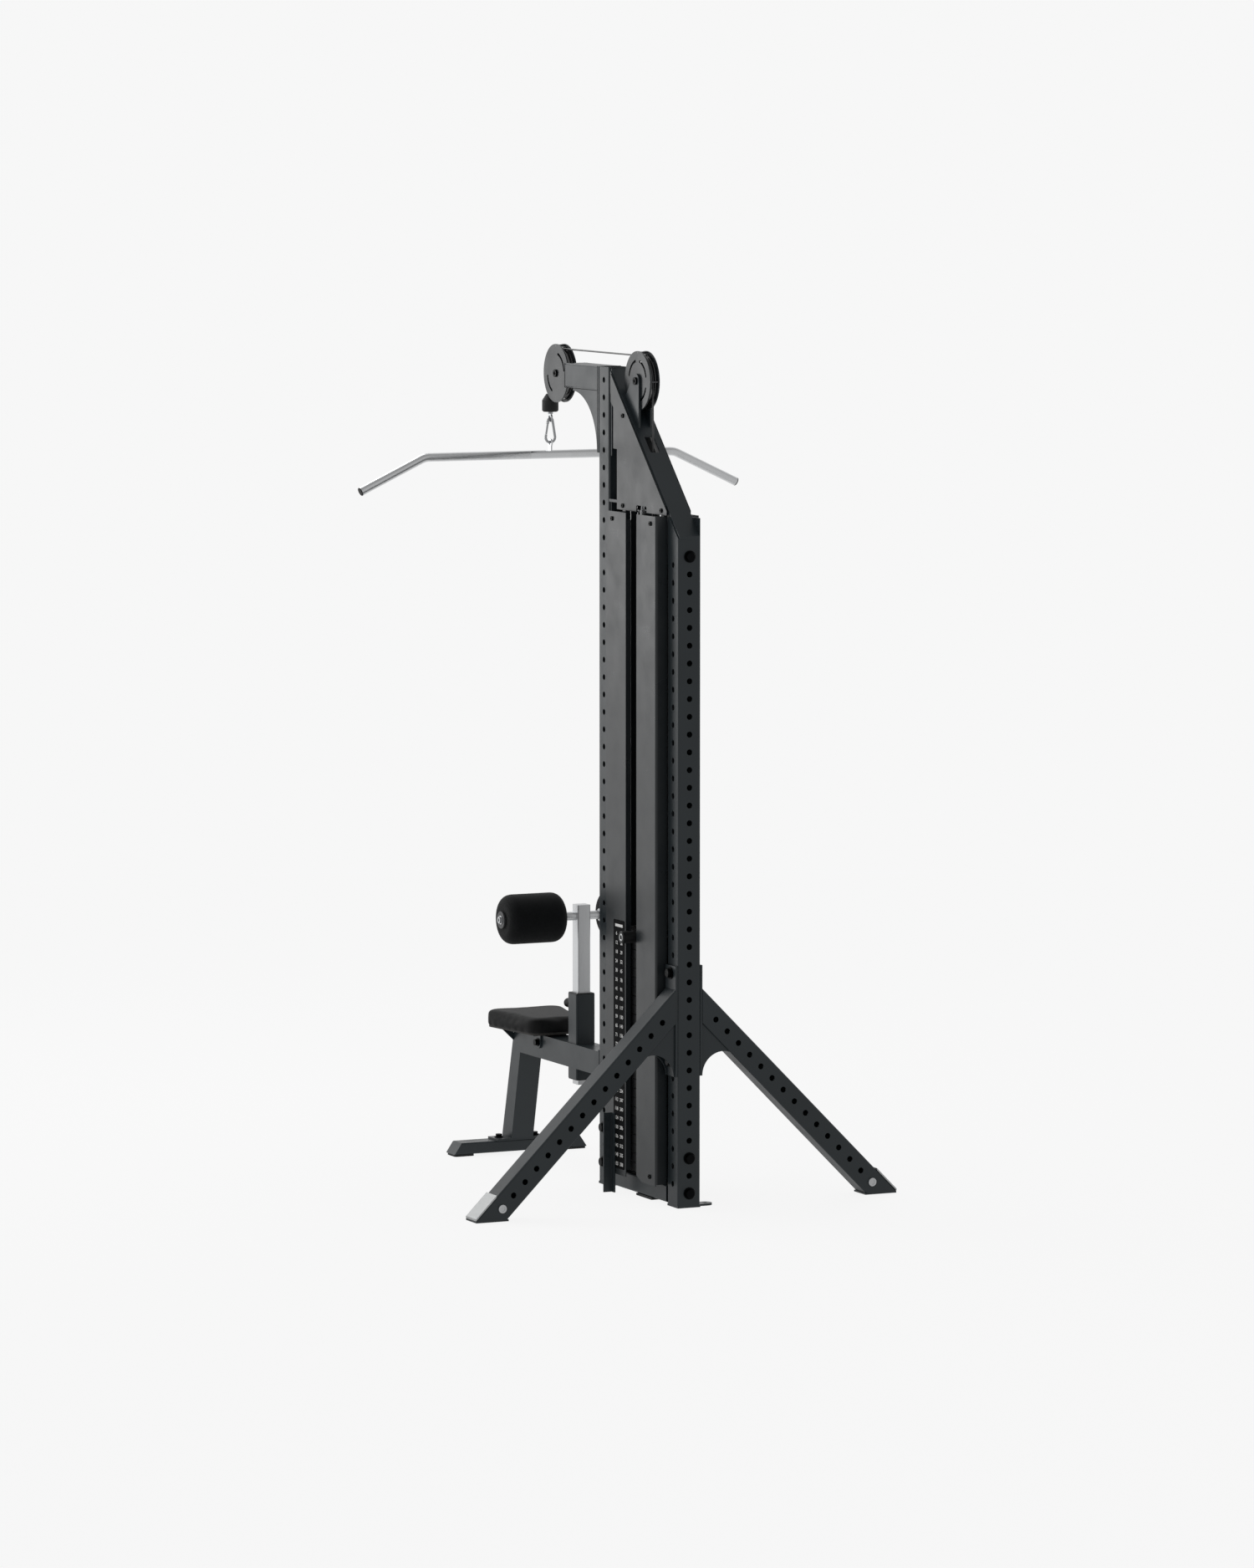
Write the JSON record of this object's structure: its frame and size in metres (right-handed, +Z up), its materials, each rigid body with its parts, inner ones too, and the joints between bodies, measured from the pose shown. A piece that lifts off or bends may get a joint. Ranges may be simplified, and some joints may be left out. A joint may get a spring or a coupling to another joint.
{
  "type": "lat pulldown machine",
  "caption": "Weight-stack lat pulldown station: wide angled bar on a cable over pulleys, covered stack tower, seat and height-adjustable thigh rollers.",
  "frame": {"origin": "floor level under the centre of the overall bounding box, on the plane of symmetry", "axes": "+Z up, +Y towards the weight-stack tower at the back, -Y towards the user's side with the seat, +X to the user's right when seated facing the tower"},
  "size_m": [1.318, 1.229, 2.4045],
  "materials": {
    "frame_paint": "fine-textured satin dark grey powder coat",
    "panel_paint": "satin dark grey powder coat on sheet steel",
    "guard_paint": "satin dark grey powder coat on laser-cut plate",
    "stack_paint": "satin black paint on steel plates",
    "zinc": "bright zinc-plated steel",
    "black_oxide": "black-oxide steel",
    "chrome": "polished hard chrome",
    "bright_steel": "brushed bright steel",
    "alu": "turned and anodised aluminium",
    "nylon_black": "matte black moulded nylon",
    "rubber_black": "matte black rubber",
    "pulley_nylon": "satin black machined nylon",
    "cable_jacket": "black nylon jacket over wire rope",
    "vinyl": "fine-grain black vinyl upholstery over foam",
    "board": "black-stained plywood",
    "label_film": "printed polyester label with a white number scale",
    "cap_silver": "satin silver paint on sheet steel"
  },
  "bodies": {
    "machine_frame": {"rear_upright": "frame_paint", "front_upright": "frame_paint", "base_beam": "frame_paint", "floor_pads": "rubber_black", "panel_foot_bracket": "frame_paint", "right_leg": "frame_paint", "left_leg": "frame_paint", "leg_tip_covers": "cap_silver", "leg_badge_bolts": "bright_steel", "tower_bolts": "black_oxide", "upper_brace": "frame_paint", "top_covers": "panel_paint", "top_arm": "frame_paint", "front_guard_discs": "guard_paint", "rear_guard_discs": "guard_paint", "cable_keeper_pins": "zinc", "pulley_axles": "black_oxide", "weight_plates": "stack_paint", "guide_rods": "chrome", "stack_bumpers": "rubber_black", "guide_rod_top_plate": "frame_paint", "right_shroud_panels": "panel_paint", "left_shroud_panel": "panel_paint", "shroud_brackets": "zinc", "cover_screws": "black_oxide", "weight_label": "label_film", "seat_frame": "frame_paint", "front_crossbar": "frame_paint", "seat_pad": "vinyl", "seat_board": "board", "seat_bracket": "frame_paint", "seat_bolts": "black_oxide", "sleeve_bushings": "nylon_black", "pull_pin_housing": "zinc", "cable_over_pulleys": "cable_jacket", "cable_bar_drop": "cable_jacket", "cable_stack_drop": "cable_jacket"},
    "stack_carriage": {"head_plate": "stack_paint", "guide_bushings": "nylon_black", "selector_rod": "bright_steel", "cable_adjuster": "zinc"},
    "selector_pin": {"selector_pin": "nylon_black"},
    "cable_end": {"cable_stopper": "rubber_black"},
    "hook": {"swivel_eye": "zinc", "snap_hook": "zinc"},
    "gate": {"hook_gate": "zinc"},
    "bar": {"lat_bar": "chrome", "bar_end_plugs": "rubber_black"},
    "front_pulley": {"front_pulley": "pulley_nylon", "front_pulley_bearing": "bright_steel"},
    "rear_pulley": {"rear_pulley": "pulley_nylon", "rear_pulley_bearing": "bright_steel"},
    "roller_carriage": {"roller_post": "chrome", "roller_axle": "chrome", "axle_fittings": "zinc"},
    "right_roller": {"right_roller_foam": "rubber_black", "right_roller_hub": "alu"},
    "left_roller": {"left_roller_foam": "rubber_black", "left_roller_hub": "alu"},
    "pull_pin": {"pull_pin": "black_oxide"}
  },
  "joints": [
    {"name": "stack_lift", "type": "slide", "parent": "machine_frame", "child": "stack_carriage", "axis": [0, 0, 1], "range_m": [0, 1], "deforming": ["cable_stack_drop"]},
    {"name": "bar_pull", "type": "slide", "parent": "machine_frame", "child": "cable_end", "axis": [0, 0, -1], "range_m": [0, 1], "deforming": ["cable_bar_drop"]},
    {"name": "bar_swivel", "type": "hinge", "parent": "cable_end", "child": "hook", "pos_m": [0, -0.3375, 2.19], "axis": [0, 0, 1], "range_deg": [-60, 60]},
    {"name": "gate_open", "type": "hinge", "parent": "hook", "child": "gate", "pos_m": [0.00799, -0.3375, 2.17356], "axis": [0, 1, 0], "range_deg": [0, 20]},
    {"name": "bar_tilt", "type": "hinge", "parent": "hook", "child": "bar", "pos_m": [0, -0.3375, 2.116], "axis": [0, 1, 0], "range_deg": [-12, 12]},
    {"name": "front_pulley_spin", "type": "hinge", "parent": "machine_frame", "child": "front_pulley", "pos_m": [0, -0.2665, 2.32], "axis": [1, 0, 0], "range_deg": [0, 810]},
    {"name": "rear_pulley_spin", "type": "hinge", "parent": "machine_frame", "child": "rear_pulley", "pos_m": [0, 0.2898, 2.32], "axis": [1, 0, 0], "range_deg": [0, 810]},
    {"name": "selector_pin_out", "type": "slide", "parent": "stack_carriage", "child": "selector_pin", "axis": [1, 0, 0], "range_m": [0, 0.13]},
    {"name": "post_height", "type": "slide", "parent": "machine_frame", "child": "roller_carriage", "axis": [0, 0, 1], "range_m": [-0.15, 0.05]},
    {"name": "right_roller_spin", "type": "hinge", "parent": "roller_carriage", "child": "right_roller", "pos_m": [0, -0.1235, 0.753], "axis": [1, 0, 0], "continuous": true},
    {"name": "left_roller_spin", "type": "hinge", "parent": "roller_carriage", "child": "left_roller", "pos_m": [0, -0.1235, 0.753], "axis": [1, 0, 0], "continuous": true},
    {"name": "pull_pin_out", "type": "slide", "parent": "machine_frame", "child": "pull_pin", "axis": [0, -1, 0], "range_m": [0, 0.012], "stiffness_N_per_m": 500}
  ],
  "couplings": [
    {"joint": "bar_pull", "follows": "stack_lift", "ratio": 1},
    {"joint": "front_pulley_spin", "follows": "stack_lift", "rad_per_m": 14.085},
    {"joint": "rear_pulley_spin", "follows": "stack_lift", "rad_per_m": 14.085}
  ]
}
